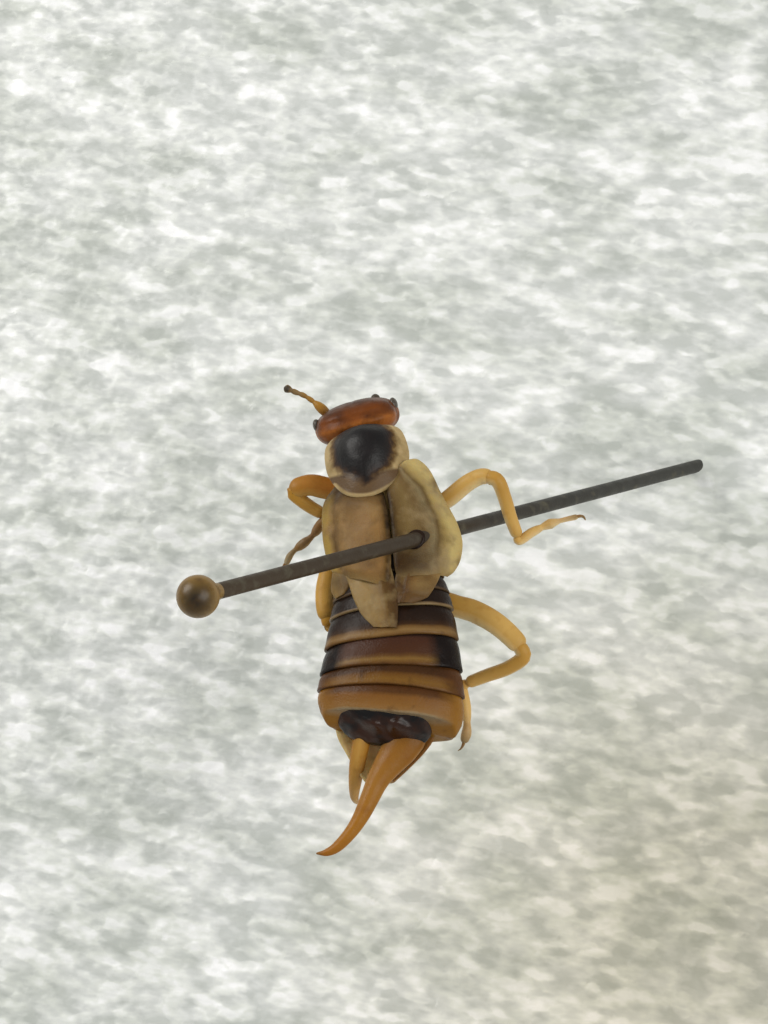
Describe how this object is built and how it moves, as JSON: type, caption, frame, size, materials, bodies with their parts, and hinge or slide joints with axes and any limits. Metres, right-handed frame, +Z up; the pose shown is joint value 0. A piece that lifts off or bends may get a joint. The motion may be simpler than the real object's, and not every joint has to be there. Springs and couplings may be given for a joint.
{
  "type": "pinned earwig specimen",
  "caption": "Dried earwig with long forceps, folded legs and splayed wing covers, on an insect pin that leans in a block of white foam.",
  "frame": {"origin": "middle of the foam block's underside", "axes": "+Z up, +Y along the block's length towards the animal's head, +X to the animal's right"},
  "size_m": [0.032, 0.044, 0.0321],
  "materials": {
    "white_foam": "closed-cell polyethylene foam with a cut skin of small stretched cells",
    "black_steel": "drawn steel wire with a dark lacquer",
    "nylon_ball": "moulded translucent nylon",
    "eye_cuticle": "fine facets, grey-black",
    "chestnut_cuticle": "smooth waxed cuticle",
    "shield_cuticle": "near-black raised disc with clear straw margins",
    "wing_cover_cuticle": "leathery brown, with a paler outer strip",
    "folded_wing_membrane": "pale leathery fold with a brown edge",
    "banded_cuticle": "dark brown plates with tan rear rims",
    "black_cuticle": "polished near-black plate",
    "amber_cuticle": "smooth translucent amber"
  },
  "bodies": {
    "root": {"abdomen_1": "banded_cuticle", "abdomen_2": "banded_cuticle", "abdomen_3": "banded_cuticle", "abdomen_4": "banded_cuticle", "abdomen_5": "banded_cuticle", "abdomen_6": "banded_cuticle", "abdomen_7": "banded_cuticle", "antenna_left": "amber_cuticle", "antenna_right": "amber_cuticle", "coxa_front_left": "amber_cuticle", "coxa_front_right": "amber_cuticle", "coxa_hind_left": "amber_cuticle", "coxa_hind_right": "amber_cuticle", "coxa_middle_left": "amber_cuticle", "coxa_middle_right": "amber_cuticle", "eye_left": "eye_cuticle", "eye_right": "eye_cuticle", "femur_front_left": "amber_cuticle", "femur_front_right": "amber_cuticle", "femur_hind_left": "amber_cuticle", "femur_hind_right": "amber_cuticle", "femur_middle_left": "amber_cuticle", "femur_middle_right": "amber_cuticle", "forceps_left": "amber_cuticle", "forceps_right": "amber_cuticle", "head": "chestnut_cuticle", "last_tergite": "black_cuticle", "mouthparts": "chestnut_cuticle", "pin_head": "nylon_ball", "pin_shaft": "black_steel", "pronotum": "shield_cuticle", "prothorax": "amber_cuticle", "stand_base": "white_foam", "tarsus_front_left": "amber_cuticle", "tarsus_front_right": "amber_cuticle", "tarsus_hind_left": "amber_cuticle", "tarsus_hind_right": "amber_cuticle", "tarsus_middle_left": "amber_cuticle", "tarsus_middle_right": "amber_cuticle", "tegmen_left": "wing_cover_cuticle", "tegmen_right": "wing_cover_cuticle", "thorax": "amber_cuticle", "tibia_front_left": "amber_cuticle", "tibia_front_right": "amber_cuticle", "tibia_hind_left": "amber_cuticle", "tibia_hind_right": "amber_cuticle", "tibia_middle_left": "amber_cuticle", "tibia_middle_right": "amber_cuticle", "wing_tip_left": "folded_wing_membrane", "wing_tip_right": "folded_wing_membrane"}
  },
  "joints": []
}
